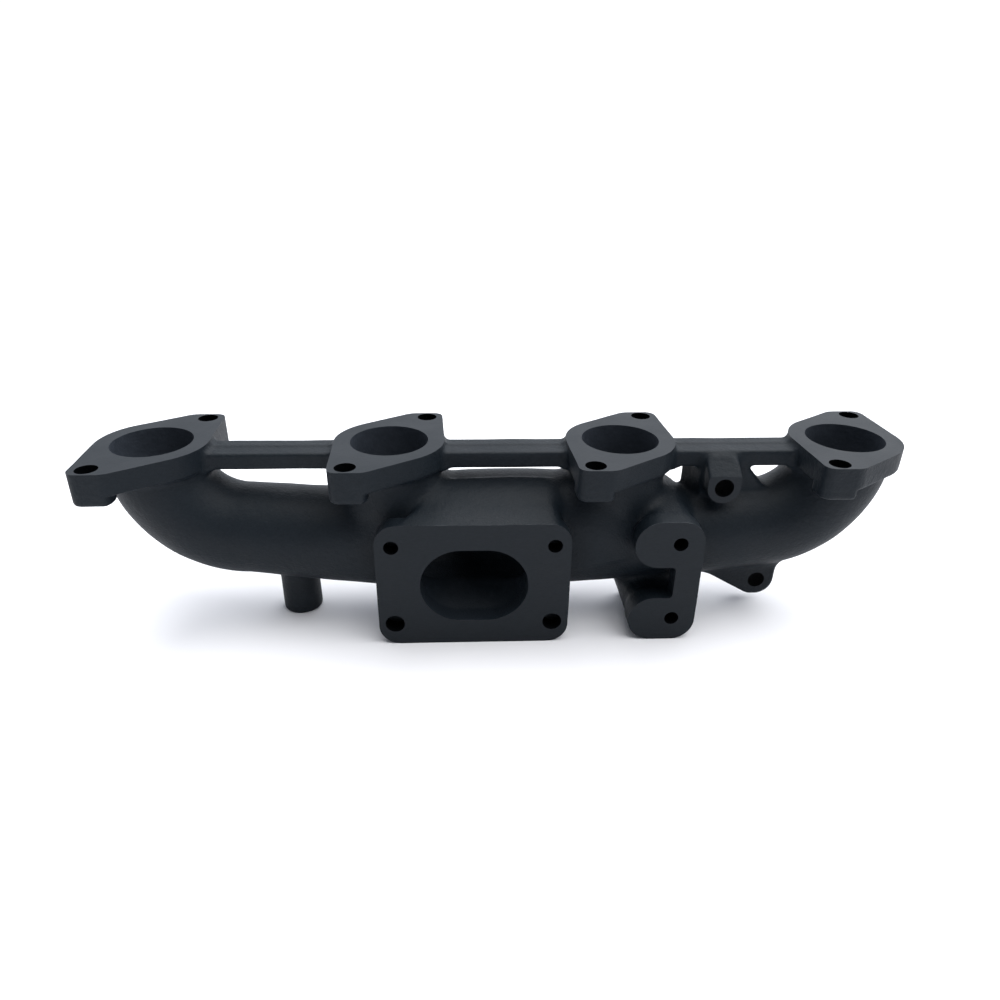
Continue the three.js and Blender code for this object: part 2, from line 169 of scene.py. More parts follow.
# Boss on the web, from the front and from the side. It leans back into the tie bar.
BOSS_X, BOSS_Z, BOSS_HOLE, BOSS_HOLE_END = 112.0, 80.4, 5.0, 12
BOSS_HALF = (BOSS_HIGH[0] - BOSS_LOW[0]) / 2
BOSS_TOP, BOSS_FRONT_Y, BOSS_BACK_Y = TIE_TOP - 2.5, BOSS_LOW[1] - STOCK, -2
BOSS = [
    (BOSS_X - BOSS_HALF, BOSS_Z - BOSS_HALF, BOSS_HALF),
    (BOSS_X + BOSS_HALF, BOSS_Z - BOSS_HALF, BOSS_HALF),
    (BOSS_X + BOSS_HALF, BOSS_TOP, 5), (BOSS_X - BOSS_HALF, BOSS_TOP, 5),
]
BOSS_SIDE = [
    (BOSS_FRONT_Y, 60, 1), (BOSS_FRONT_Y, 85, 6), (TIE_LOW[1] - 2.5, BOSS_TOP, 3),
    (BOSS_BACK_Y, BOSS_TOP, 1), (BOSS_BACK_Y, 60, 1),
]

# Lug, from the front.
LUG_X, LUG_Z, LUG_RADIUS, LUG_HOLE = 143.2, 16.8, 9.7, 4.65
LUG = [
    (110, 24, 1), (LUG_X - 4, LUG_Z - LUG_RADIUS, LUG_RADIUS),
    (LUG_X + LUG_RADIUS, LUG_Z - LUG_RADIUS, LUG_RADIUS - 0.2),
    (LUG_X + LUG_RADIUS + 0.6, LUG_Z + 6, 6), (156, 42, 1), (110, 42, 1),
]
PEG_X, PEG_RADIUS, PEG_TOP = (PEG_LOW[0] + PEG_HIGH[0]) / 2, (PEG_HIGH[0] - PEG_LOW[0]) / 2, 30

# Rounded edges.
PLATE_EDGE, BRACKET_EDGE, WEB_EDGE, BOSS_EDGE, LUG_EDGE, PEG_EDGE = 1.2, 1.5, 2.5, 1, 1.5, 1.2

# Cast fillets. Four of them change from place to place over a run.
NO_FILLET = 0.01
NECK_FILLET, ARM_FILLET, BRACKET_FILLET, FLANGE_FILLET = 5, 5, 1.5, 4
WEB_FILLET, BOSS_FILLET, LUG_FILLET, PEG_FILLET = 3, 5, 5, 2
RUNNER_BORE_FILLET, OUTLET_BORE_FILLET = 5, 3
RUNNER_FILLET, RUNNER_FILLET_GAIN, RUNNER_FILLET_X, RUNNER_FILLET_RUN = 2.5, 8, 66, 20
OUTLET_FILLET, OUTLET_FILLET_Z, OUTLET_FILLET_RUN = 3, 66, 8
EAR_FILLET, EAR_FILLET_RUN = 3, 6
TIE_FILLET, TIE_FILLET_GAIN, TIE_FILLET_Z, TIE_FILLET_RUN = 3, 4, TIE_LOW[2] + 2, 4

# ---- Making of the skin ----

CELL = 0.9   # of the distance field
MARGIN = 4.0                        # of the field round the casting
FAR = 20.0                          # distance where nothing is near
REACH = 13.0                        # how far round a shape the field is worked out
WAVE = 0.1                          # height of the unevenness of a cast face
WAVE_FADE = 5                       # height above the ground where it is full
TOOL_CELL = 6.0                     # of a tool's faces, smaller than the smallest hole
SEAM = 0.8                          # how far below a flat underside the casting is divided
CRUMB_FACES = 400                   # of the largest loose grain that is dropped
HOLE_SIDES = 48
DRILL_OVER = 1                      # how far a bit starts outside its face
EAR_THROUGH, LUG_THROUGH = 5, 4     # how far a bit goes past an ear's or the lug's face
MILL_OVER = 9                       # how far a mill reaches past the casting
MILLED_HEIGHT = OUTLET_HIGH[2] + 4  # below this the casting's front is milled
BOSS_MILL_OVER = 2

# Unevenness: the length of each wave along X, Y and Z, its phases there, and its share.
WAVES = (((7.3, 6.1, 6.7), (1.1, 0.4, 2.0), 1.0), ((3.9, 4.3, 3.7), (0.3, 1.9, 0.8), 0.5))


# ---- Outlines and distances ----

def unit(u, v):
    length = np.hypot(u, v)
    return u / length, v / length


def round_corners(corners, steps=10):
    """Points round a closed outline whose corners are (u, v, radius)."""
    points = []
    for i, (u, v, radius) in enumerate(corners):
        last_u, last_v, _ = corners[i - 1]
        next_u, next_v, _ = corners[(i + 1) % len(corners)]
        back_u, back_v = unit(last_u - u, last_v - v)
        ahead_u, ahead_v = unit(next_u - u, next_v - v)
        half = np.arccos(np.clip(back_u * ahead_u + back_v * ahead_v, -1, 1)) / 2
        middle_u, middle_v = unit(back_u + ahead_u, back_v + ahead_v)
        centre_u = u + middle_u * radius / np.sin(half)
        centre_v = v + middle_v * radius / np.sin(half)
        from_u = u + back_u * radius / np.tan(half) - centre_u
        from_v = v + back_v * radius / np.tan(half) - centre_v
        turn = np.sign(ahead_u * back_v - ahead_v * back_u) * (math.pi - 2 * half)
        for k in range(steps + 1):
            sine, cosine = np.sin(turn * k / steps), np.cos(turn * k / steps)
            points.append((
                centre_u + from_u * cosine - from_v * sine,
                centre_v + from_u * sine + from_v * cosine,
            ))
    return points


def outline_distance(u, v, points):
    """Signed distance to a closed outline, negative inside it."""
    nearest, inside = np.inf, False
    for i, (u1, v1) in enumerate(points):
        u0, v0 = points[i - 1]
        du, dv = u1 - u0, v1 - v0
        length = np.maximum(du * du + dv * dv, 1e-9)
        along = np.clip(((u - u0) * du + (v - v0) * dv) / length, 0, 1)
        nearest = np.minimum(nearest, np.hypot(u - u0 - along * du, v - v0 - along * dv))
        with np.errstate(divide="ignore", invalid="ignore"):
            left_of_edge = u - u0 < (v - v0) * du / dv
        inside = inside ^ (((v0 <= v) != (v1 <= v)) & left_of_edge)
    return np.where(inside, -nearest, nearest)


def slab(w, low, high):
    return np.maximum(low - w, w - high)


def prism(side, ends, edge=0.0):
    """Distance to a prism from the distances to its sides and its ends, with rounded edges."""
    side, ends = side + edge, ends + edge
    outside = np.hypot(np.maximum(side, 0), np.maximum(ends, 0))
    return outside + np.minimum(np.maximum(side, ends), 0) - edge


def fillet_join(a, b, radius):
    """Both shapes, with a fillet of that radius where they meet."""
    corner = np.hypot(np.maximum(radius - a, 0), np.maximum(radius - b, 0))
    return np.maximum(radius, np.minimum(a, b)) - corner


def fade(gap, run, least=0.0):
    """Share that rises to 1 as a gap grows to the length of a run."""
    return np.clip(gap / run, least, 1)


def box_round(axis, outline, low, high):
    """Lowest and highest corner of the box round a prism along an axis (0, 1 or 2)."""
    across = np.array([corner[:2] for corner in outline], float)
    return np.insert(across.min(axis=0), axis, low), np.insert(across.max(axis=0), axis, high)


def along_table(table, place):
    """The other columns of a station table at a place in its first column, on a smooth curve."""
    stops = table[:, 0]
    slopes = np.empty_like(table[:, 1:])
    slopes[1:-1] = (table[2:, 1:] - table[:-2, 1:]) / (stops[2:] - stops[:-2])[:, None]
    slopes[0] = (table[1, 1:] - table[0, 1:]) / (stops[1] - stops[0])
    slopes[-1] = (table[-1, 1:] - table[-2, 1:]) / (stops[-1] - stops[-2])
    place = np.clip(place, stops[0], stops[-1])
    i = np.clip(np.searchsorted(stops, place) - 1, 0, len(stops) - 2)
    run = stops[i + 1] - stops[i]
    t = (place - stops[i]) / run
    weights = (2 * t**3 - 3 * t**2 + 1, (t**3 - 2 * t**2 + t) * run,
               3 * t**2 - 2 * t**3, (t**3 - t**2) * run)
    return [
        weights[0] * table[i, c + 1] + weights[1] * slopes[i, c]
        + weights[2] * table[i + 1, c + 1] + weights[3] * slopes[i + 1, c]
        for c in range(table.shape[1] - 1)
    ]


class Field:
    """Signed distances to the casting on a grid, negative in the iron."""

    def __init__(self, low, high):
        self.low = np.array(low, float)
        counts = np.ceil((np.array(high) - self.low) / CELL).astype(int) + 1
        self.axes = [
            (self.low[a] + CELL * np.arange(counts[a])).astype(np.float32) for a in range(3)
        ]
        self.high = np.array([axis[-1] for axis in self.axes])
        self.values = np.full(counts, FAR, np.float32)

    def window(self, low, high):
        """The part of the grid near a box, with its coordinates."""
        parts = [
            slice(*np.searchsorted(axis, (low[a] - REACH, high[a] + REACH)))
            for a, axis in enumerate(self.axes)
        ]
        x, y, z = (axis[part] for axis, part in zip(self.axes, parts))
        return tuple(parts), x[:, None, None], y[None, :, None], z[None, None, :]

    def join(self, low, high, distance, fillet):
        """Adds a shape, with a fillet of one radius or of one that changes from place to place."""
        part, x, y, z = self.window(low, high)
        radius = fillet(x, y, z) if callable(fillet) else fillet
        self.values[part] = fillet_join(self.values[part], distance(x, y, z), radius)

    def cut(self, low, high, distance):
        part, x, y, z = self.window(low, high)
        self.values[part] = np.maximum(self.values[part], -distance(x, y, z))

    def sample(self, grid, points):
        """Value of a grid at each point, from the eight grid points round it."""
        place = (points - self.low) / CELL
        cell = np.clip(np.floor(place).astype(int), 0, np.array(grid.shape[:3]) - 2)
        part = place - cell
        total = 0
        for corner in np.ndindex(2, 2, 2):
            weight = np.prod(np.where(corner, part, 1 - part), axis=1)
            i, j, k = (cell + corner).T
            value = grid[i, j, k]
            total = total + (weight[:, None] * value if value.ndim > 1 else weight * value)
        return total


# ---- Shapes of the casting ----

def port_outline(x, grow=0.0):
    """Port flange from above: its edges are tangent to the rim round the bore."""
    rim, length = PORT_RIM + grow, PORT_HALF_LENGTH + grow
    ear = (rim - length * math.sin(PORT_LEAN)) / math.cos(PORT_LEAN)
    blunt = (length * math.cos(PORT_SLANT) - rim) / math.sin(PORT_SLANT)
    slant_normal = PORT_SLANT - math.pi / 2
    middle = (slant_normal + PORT_LEAN) / 2
    reach = rim / math.cos((PORT_LEAN - slant_normal) / 2)
    shoulder_x, shoulder_y = reach * math.cos(middle), reach * math.sin(middle)
    return round_corners([
        (x - ear, -length, PORT_SHARP_CORNER),
        (x - blunt, -length, PORT_BLUNT_CORNER),
        (x + shoulder_x, shoulder_y, rim),
        (x + ear, length, PORT_SHARP_CORNER),
        (x + blunt, length, PORT_BLUNT_CORNER),
        (x - shoulder_x, -shoulder_y, rim),
    ])


def ear_places(x):
    """Places of the stud holes in the two ears of a port flange."""
    return [(x + side * STUD_X, side * STUD_Y) for side in (-1, 1)]


def tube_distance(x, y, z, inset):
    """The log and the two elbows, in one run without a joint."""
    bottom, top, half, radius = along_table(LOG_STATIONS, x)
    radius = radius - inset
    side = np.abs(y) - (half - inset - radius)
    rise = np.abs(z - (bottom + top) / 2) - ((top - bottom) / 2 - inset - radius)
    log = np.hypot(np.maximum(side, 0), np.maximum(rise, 0))
    log = log + np.minimum(np.maximum(side, rise), 0) - radius
    out = np.abs(x) - BEND_X
    bend = np.hypot(out, np.minimum(z - BEND_Z, 0)) - BEND_RADIUS
    riser = out - BEND_RADIUS
    elbow = np.hypot(np.where(z < BEND_Z, bend, riser), y) - (TUBE - inset)
    return np.where(out > 0, elbow, log)


def runner_distance(x, y, z, port):
    half_x, half_y = along_table(RUNNER_STATIONS, z)
    round_part = (np.hypot((x - port) / half_x, y / half_y) - 1) * half_y
    return np.maximum(round_part, RUNNER_STATIONS[0, 0] - z)


def loft_distance(x, y, z, front, back, front_y, back_y):
    """Skin between two outlines in X and Z, one at each end of a run along Y."""
    share = (y - front_y) / (back_y - front_y)
    corners = [
        (x0 + (x1 - x0) * share, z0 + (z1 - z0) * share, radius)
        for (x0, z0, radius), (x1, z1, _) in zip(front, back)
    ]
    side = outline_distance(x, z, round_corners(corners, 5))
    return np.maximum(side, slab(y, front_y, back_y))


def box_outline(left, bottom, right, top, radius):
    return round_corners([
        (left, bottom, radius), (right, bottom, radius), (right, top, radius), (left, top, radius),
    ])


def disc(u, v, u0, v0, radius):
    return np.hypot(u - u0, v - v0) - radius


def bracket_outline():
    left, _, bottom = BRACKET_LOW
    right, _, top = BRACKET_HIGH
    return round_corners([
        (left, bottom, BRACKET_LOBE),
        (right, bottom, BRACKET_CORNER),
        (right, top, BRACKET_CORNER),
        (left, top, BRACKET_LOBE),
        (left, NOTCH_HIGH, BRACKET_LOBE),
        (NOTCH_END, NOTCH_HIGH, NOTCH_CORNER),
        (NOTCH_END, NOTCH_LOW, NOTCH_CORNER),
        (left, NOTCH_LOW, BRACKET_LOBE),
    ])


def add_tubes(field):
    field.join(field.low, field.high, lambda x, y, z: tube_distance(x, y, z, 0), NO_FILLET)
    for port in PORT_X[1:3]:
        field.join(
            (port - RUNNER_BOX_X, -RUNNER_BOX_Y, RUNNER_BOX_BOTTOM),
            (port + RUNNER_BOX_X, RUNNER_BOX_Y, PORT_TOP + STOCK),
            lambda x, y, z: runner_distance(x, y, z, port),
            lambda x, y, z: RUNNER_FILLET + RUNNER_FILLET_GAIN * fade(
                RUNNER_FILLET_X - np.abs(x), RUNNER_FILLET_RUN),
        )


def add_outlet(field):
    front_y = OUTLET_LOW[1] - STOCK
    field.join(
        *box_round(1, NECK_FRONT + NECK_BACK, front_y, NECK_BACK_Y),
        lambda x, y, z: loft_distance(x, y, z, NECK_FRONT, NECK_BACK, front_y, NECK_BACK_Y),
        NECK_FILLET,
    )
    left, _, bottom = OUTLET_LOW
    right, back_y, top = OUTLET_HIGH
    outline = box_outline(left, bottom, right, top, OUTLET_CORNER)
    field.join(
        (left, front_y, bottom), OUTLET_HIGH,
        lambda x, y, z: prism(
            outline_distance(x, z, outline), slab(y, front_y, back_y), PLATE_EDGE),
        lambda x, y, z: OUTLET_FILLET * fade(OUTLET_FILLET_Z - z, OUTLET_FILLET_RUN, 0.01),
    )


def add_bracket(field):
    for front, back in ((UPPER_ARM_FRONT, UPPER_ARM_BACK), (LOWER_ARM_FRONT, LOWER_ARM_BACK)):
        field.join(
            *box_round(1, front + back, ARM_FRONT_Y, ARM_BACK_Y),
            lambda x, y, z: loft_distance(x, y, z, front, back, ARM_FRONT_Y, ARM_BACK_Y),
            ARM_FILLET,
        )
    outline = bracket_outline()
    ends = (BRACKET_LOW[1] - STOCK, BRACKET_HIGH[1])
    field.join(
        *box_round(1, outline, *ends),
        lambda x, y, z: prism(outline_distance(x, z, outline), slab(y, *ends), BRACKET_EDGE),
        BRACKET_FILLET,
    )


def add_port_flanges(field):
    top = PORT_TOP + 2 * STOCK
    for x0 in PORT_X:
        outline = port_outline(x0)

        def plate(x, y, z):
            ends = slab(z, PORT_TOP - PORT_PLATE, top)
            return prism(outline_distance(x, y, outline), ends, PLATE_EDGE)

        def ears(x, y, z):
            pads = [disc(x, y, *place, EAR) for place in ear_places(x0)]
            side = np.maximum(outline_distance(x, y, outline), np.minimum(*pads))
            return prism(side, slab(z, EAR_BOTTOM, top), EAR_EDGE)

        def flange(x, y, z):
            depth = -outline_distance(x, y, outline)
            fillet = EAR_FILLET * fade(depth, EAR_FILLET_RUN, 0.003)
            return fillet_join(plate(x, y, z), ears(x, y, z), fillet)

        field.join(*box_round(2, outline, EAR_BOTTOM, PORT_TOP + STOCK), flange, FLANGE_FILLET)


def add_tie_bars(field):
    outline = round_corners(TIE_SECTION, 4)
    for left, right in zip(PORT_X, PORT_X[1:]):
        field.join(
            *box_round(0, TIE_SECTION, left, right),
            lambda x, y, z: np.maximum(outline_distance(y, z, outline), slab(x, left, right)),
            lambda x, y, z: TIE_FILLET + TIE_FILLET_GAIN * fade(TIE_FILLET_Z - z, TIE_FILLET_RUN),
        )


def add_web_and_boss(field):
    web = round_corners(WEB)

    def web_distance(x, y, z):
        left_end = WEB_LEFT + (WEB_BACK_Y - y) * WEB_SLANT
        ends = slab(y, WEB_FRONT_Y, WEB_BACK_Y)
        block = prism(outline_distance(x, z, web), ends, WEB_EDGE)
        return np.maximum(block, (left_end - x) / WEB_SLANT_LENGTH)

    field.join(*box_round(1, WEB, WEB_FRONT_Y, WEB_BACK_Y), web_distance, WEB_FILLET)
    boss, side = round_corners(BOSS), round_corners(BOSS_SIDE)
    field.join(
        *box_round(1, BOSS, BOSS_FRONT_Y, BOSS_BACK_Y),
        lambda x, y, z: prism(
            outline_distance(x, z, boss), outline_distance(y, z, side), BOSS_EDGE),
        BOSS_FILLET,
    )


def add_lug_and_peg(field):
    lug = round_corners(LUG)
    ends = (LUG_LOW[1], LUG_HIGH[1])
    field.join(
        *box_round(1, LUG, *ends),
        lambda x, y, z: prism(outline_distance(x, z, lug), slab(y, *ends), LUG_EDGE), LUG_FILLET,
    )
    field.join(
        (PEG_X - PEG_RADIUS, -PEG_RADIUS, 0), (PEG_X + PEG_RADIUS, PEG_RADIUS, PEG_TOP),
        lambda x, y, z: prism(disc(x, y, PEG_X, 0, PEG_RADIUS), slab(z, 0, PEG_TOP), PEG_EDGE),
        PEG_FILLET,
    )


def add_waves(field):
    """Slight unevenness of cast faces, which fades out where the casting stands."""
    _, *place = field.window(field.low, field.high)
    waves = 0
    for lengths, phases, share in WAVES:
        waves = waves + share * math.prod(
            np.sin(along / length + phase) for along, length, phase in zip(place, lengths, phases))
    field.values += (WAVE * waves * np.clip(place[2] / WAVE_FADE, 0, 1)).astype(np.float32)


def passage_distance(x, y, z):
    """Gas passage: the inside of the tubes, of the runners and of the outlet."""
    space = tube_distance(x, y, z, WALL)
    for port in PORT_X[1:3]:
        runner = np.maximum(disc(x, y, port, 0, PORT_BORE), RUNNER_BORE_BOTTOM - z)
        space = fillet_join(space, runner, RUNNER_BORE_FILLET)
    front_y, flange_back = OUTLET_LOW[1] - 2 * STOCK, OUTLET_HIGH[1]
    share = np.clip((y - flange_back) / (OUTLET_BORE_END - flange_back), 0, 1)
    rise = z - OUTLET_PORT_Z - share * OUTLET_BORE_LIFT
    straight = OUTLET_PORT_HALF_WIDTH - OUTLET_PORT_HALF_HEIGHT
    side = np.maximum(np.abs(x - OUTLET_PORT_X) - straight, 0)
    outlet = np.hypot(side, rise) - OUTLET_PORT_HALF_HEIGHT
    outlet = np.maximum(outlet, slab(y, front_y, OUTLET_BORE_END))
    return fillet_join(space, outlet, OUTLET_BORE_FILLET)


def drilled_holes():
    """Each hole as its axis, its place across that, its radius, and its two ends."""
    for x0 in PORT_X:
        for place in ear_places(x0):
            yield 2, place, STUD_HOLE, PORT_EAR_BOTTOM - EAR_THROUGH, PORT_TOP + DRILL_OVER
    front_y = OUTLET_LOW[1] - DRILL_OVER
    flange_x = (OUTLET_LOW[0] + OUTLET_HIGH[0]) / 2
    for dx, z, radius in OUTLET_HOLES:
        yield 1, (flange_x + dx, z), radius, front_y, OUTLET_HOLE_BOTTOM
    for z in BRACKET_HOLE_Z:
        yield 1, (BRACKET_HOLE_X, z), BRACKET_HOLE, front_y, BRACKET_HOLE_BOTTOM
    yield 1, (BOSS_X, BOSS_Z), BOSS_HOLE, BOSS_LOW[1] - DRILL_OVER, BOSS_HOLE_END
    yield 1, (LUG_X, LUG_Z), LUG_HOLE, LUG_LOW[1] - LUG_THROUGH, LUG_HIGH[1] + LUG_THROUGH


def make_field():
    low, high = (np.array(corner) * 1000 for corner in cad_bounds)
    field = Field(low - MARGIN, high + MARGIN)
    add_tubes(field)
    add_outlet(field)
    add_port_flanges(field)
    add_tie_bars(field)
    add_bracket(field)
    add_web_and_boss(field)
    add_lug_and_peg(field)
    add_waves(field)
    field.cut(field.low, field.high, passage_distance)
    return field


# ---- From the field to meshes ----

def new_object(name, data):
    piece = bpy.data.objects.new(name, data)
    bpy.context.scene.collection.objects.link(piece)
    return piece


def cast_skin(field):
    """Closed skin of the casting, before it is milled."""
    grid = openvdb.FloatGrid()
    grid.background = FAR
    grid.copyFromArray(field.values)
    points, quads = grid.convertToQuads(0.0)
    mesh = bpy.data.meshes.new("casting")
    mesh.from_pydata(((points * CELL + field.low) / 1000).tolist(), [], quads.tolist())
    return new_object("casting", mesh)


def prism_tool(axis, outline, low, high):
    """Closed prism along an axis (0, 1 or 2) from an outline across it, in millimetres.

    Its faces are sliced into cells, because the solver can't keep a hole inside one face.
    """
    ends = [[np.insert(point, axis, end) for point in outline] for end in (low, high)]
    count = len(outline)
    ring = range(count)
    faces = [list(ring), [count + i for i in ring]]
    faces += [(i, (i + 1) % count, count + (i + 1) % count, count + i) for i in ring]
    mesh = bpy.data.meshes.new("tool")
    mesh.from_pydata([point.tolist() for point in (*ends[0], *ends[1])], [], faces)
    shape = bmesh.new()
    shape.from_mesh(mesh)
    bmesh.ops.remove_doubles(shape, verts=shape.verts, dist=1e-3)
    bmesh.ops.recalc_face_normals(shape, faces=shape.faces)
    corners = np.array([*ends[0], *ends[1]])
    for a in range(3):
        for place in np.arange(corners[:, a].min() + TOOL_CELL, corners[:, a].max() - 1, TOOL_CELL):
            bmesh.ops.bisect_plane(
                shape, geom=[*shape.verts, *shape.edges, *shape.faces],
                plane_co=Vector.Fill(3, place), plane_no=Matrix.Identity(3)[a])
    bmesh.ops.scale(shape, vec=Vector.Fill(3, 0.001), verts=shape.verts)
    shape.to_mesh(mesh)
    shape.free()
    return new_object("tool", mesh)


def box_tool(low, high):
    outline = [(low[0], low[1]), (high[0], low[1]), (high[0], high[1]), (low[0], high[1])]
    return prism_tool(2, outline, low[2], high[2])


def combined(piece, tool, operation):
    """Mesh of a piece joined with, cut by or kept inside a tool."""
    modifier = piece.modifiers.new("cut", "BOOLEAN")
    modifier.solver = "MANIFOLD"
    modifier.operation = operation
    modifier.object = tool
    depsgraph = bpy.context.evaluated_depsgraph_get()
    mesh = bpy.data.meshes.new_from_object(piece.evaluated_get(depsgraph))
    piece.modifiers.clear()
    return mesh


def remove(piece):
    mesh = piece.data
    bpy.data.objects.remove(piece)
    bpy.data.meshes.remove(mesh)


def change(piece, tool, operation):
    """Cuts or joins a piece with a tool, which is used up."""
    old = piece.data
    piece.data = combined(piece, tool, operation)
    bpy.data.meshes.remove(old)
    remove(tool)


def mill(casting):
    """Cuts the port faces, the outlet and bracket faces, the feet and the boss face flat."""
    low = np.array(cad_bounds[0]) * 1000 - MILL_OVER
    high = np.array(cad_bounds[1]) * 1000 + MILL_OVER
    face_y = OUTLET_LOW[1]
    change(casting, box_tool((low[0], low[1], PORT_TOP), high), "DIFFERENCE")
    change(casting, box_tool(low, (high[0], face_y, MILLED_HEIGHT)), "DIFFERENCE")
    change(casting, box_tool(low, (high[0], high[1], 0)), "DIFFERENCE")
    boss_low = (BOSS_LOW[0] - BOSS_MILL_OVER, face_y, BOSS_LOW[2] - BOSS_MILL_OVER)
    boss_high = (BOSS_HIGH[0] + BOSS_MILL_OVER, BOSS_LOW[1], TIE_HIGH[2])
    change(casting, box_tool(boss_low, boss_high), "DIFFERENCE")


def drill(casting):
    shape = bmesh.new()
    for axis, (u, v), radius, low, high in drilled_holes():
        turns = np.linspace(0, 2 * math.pi, HOLE_SIDES, endpoint=False)
        outline = [(u + radius * math.cos(turn), v + radius * math.sin(turn)) for turn in turns]
        bit = prism_tool(axis, outline, low, high)
        shape.from_mesh(bit.data)
        remove(bit)
    mesh = bpy.data.meshes.new("drills")
    shape.to_mesh(mesh)
    shape.free()
    change(casting, new_object("drills", mesh), "DIFFERENCE")


# ---- Division of the casting ----

FLANGE_GROW, EAR_GROW, PLATE_GROW = 1.5, 2.5, 3   # of a tool outside what it takes
GROUND, BACK, TOP = -2, 50, PORT_TOP - 4          # limits of what the tools take
FLANGE_CUT = PORT_TOP - PORT_PLATE - SEAM
TIE_CUT_BOTTOM, TIE_CUT_FRONT = FLANGE_CUT + 0.1, TIE_LOW[1] - SEAM
TIE_CUT_END = PORT_RIM - 4

# Outlines of tools that aren't boxes: the arms in Y and Z, the web in X and Z, the neck in X and Y.
UPPER_ARM_CUT = [(-35, 43), (-22.9, 43), (-22.9, 50), (-20.8, 56), (-16.3, 62.4),
                 (-10, 66.8), (-4, 69), (-4, 80), (-35, 80)]
LOWER_ARM_CUT = [(-35, GROUND), (12, GROUND), (12, 26), (0, 23), (-9, 24.6), (-16.5, 30),
                 (-21, 37), (-22.9, 44), (-35, 44)]
WEB_CUT = [(91, 70.5), (118, 71.2), (136, 72.5), (146, 74.6), (146, TOP), (91, TOP)]
NECK_CUT = [(-64, -40), (33, -40), (33, -17), (-44, -17), (-64, OUTLET_HIGH[1])]

# Boxes that are taken after those, in this order.
BOX_CUTS = {
    "runner_2": ((PORT_X[1] - 34, -30, 68), (PORT_X[1] + 34, 30, TOP)),
    "runner_3": ((PORT_X[2] - 34, -30, 68), (PORT_X[2] + 34, 30, TOP)),
    "runner_1": ((-230, -30, 20), (LOG_CUTS[0], 30, TOP)),
    "runner_4": ((LOG_CUTS[3], -30, 20), (230, 30, TOP)),
    "collector_left": ((LOG_CUTS[0] - 5, -40, 10), (LOG_CUTS[1], 40, TOP)),
    "collector_right": ((LOG_CUTS[2], -40, 10), (LOG_CUTS[3] + 5, 40, TOP)),
}


def flange_tool(x0):
    """Space of one port flange with its ears."""
    tool = prism_tool(2, port_outline(x0, FLANGE_GROW), FLANGE_CUT, PORT_TOP + 1)
    reach = EAR + EAR_GROW
    for x, y in ear_places(x0):
        pad = box_outline(x - reach, y - reach, x + reach, y + reach, reach - 0.1)
        change(tool, prism_tool(2, pad, EAR_BOTTOM - SEAM, PORT_TOP - 2), "UNION")
    return tool


def plate_tool(low, high, over):
    """Space of a flat plate that faces the front, and of what stands that far over it."""
    return box_tool(
        (low[0] - PLATE_GROW, -BACK, GROUND), (high[0] + PLATE_GROW, high[1], high[2] + over))


def division():
    """Names of the sub-parts, each with the tool that takes it from what is left.

    A tool may reach into space that an earlier tool has emptied, so that no sliver stays.
    """
    for i, x0 in enumerate(PORT_X, 1):
        yield f"port_flange_{i}", flange_tool(x0)
    for i, (left, right) in enumerate(zip(PORT_X, PORT_X[1:]), 1):
        yield f"tie_bar_{i}_{i + 1}", box_tool(
            (left + TIE_CUT_END, TIE_CUT_FRONT, TIE_CUT_BOTTOM),
            (right - TIE_CUT_END, BACK, PORT_TOP))
    yield "outlet_flange", plate_tool(OUTLET_LOW, OUTLET_HIGH, 6)
    yield "bracket_plate", plate_tool(BRACKET_LOW, BRACKET_HIGH, 4)
    yield "support_peg", box_tool((PEG_X - 15, -15, GROUND), (PEG_X + 15, 15, 22))
    yield "lower_lug", box_tool((104, -14, 2), (162, 14, 25))
    yield "bracket_upper_arm", prism_tool(0, UPPER_ARM_CUT, 61, 102)
    yield "bracket_lower_arm", prism_tool(0, LOWER_ARM_CUT, 50, 102)
    yield "pipe_boss", box_tool((98, -24, 68), (126, TIE_CUT_FRONT + 1, TOP))
    yield "boss_web", prism_tool(1, WEB_CUT, -12, 12)
    yield "outlet_neck", prism_tool(2, NECK_CUT, GROUND, 84)
    for name, (low, high) in BOX_CUTS.items():
        yield name, box_tool(low, high)


def divide(casting):
    """The sub-parts of the milled casting, by name."""
    pieces = {}
    for name, tool in division():
        pieces[name] = new_object(name + "_casting", combined(casting, tool, "INTERSECT"))
        change(casting, tool, "DIFFERENCE")
    casting.name = "collector_centre_casting"
    pieces["collector_centre"] = casting
    return pieces


def drop_crumbs(piece):
    """Deletes the grains of a few faces that a division can leave loose."""
    shape = bmesh.new()
    shape.from_mesh(piece.data)
    waiting = set(shape.faces)
    while waiting:
        island = [waiting.pop()]
        for face in island:
            near = {other for edge in face.edges for other in edge.link_faces} & waiting
            waiting -= near
            island.extend(near)
        if len(island) < CRUMB_FACES:
            bmesh.ops.delete(shape, geom=island, context="FACES")
            waiting = {face for face in waiting if face.is_valid}
    shape.to_mesh(piece.data)
    shape.free()


# ---- Shading ----

ON_FACE = 0.02       # nearness that counts as on a milled face
ON_HOLE = 0.2        # nearness that counts as on a hole's wall
HOLE_END = -0.01     # how far inside a hole's ends its wall is
ACROSS = 0.1         # largest share of the hole's axis in its wall's normal
LIKENESS = 0.7       # least cosine between a cast face and the field's slope
BORE_BOTTOM = 60     # height below which the passage is darker, a painted shade
DEEP_BORE_LIGHT = 0.15     # share of the painted light on the passage walls there


def unit_rows(vectors):
    return vectors / np.maximum(np.linalg.norm(vectors, axis=1, keepdims=True), 1e-9)


def read(items, name, width=3, kind=np.float32):
    values = np.empty(len(items) * width, kind)
    items.foreach_get(name, values)
    return values.reshape(-1, width) if width > 1 else values


def mark_points(mesh, name, marked):
    attribute = mesh.attributes.new(name, "FLOAT", "POINT")
    attribute.data.foreach_set("value", marked.astype(np.float32))


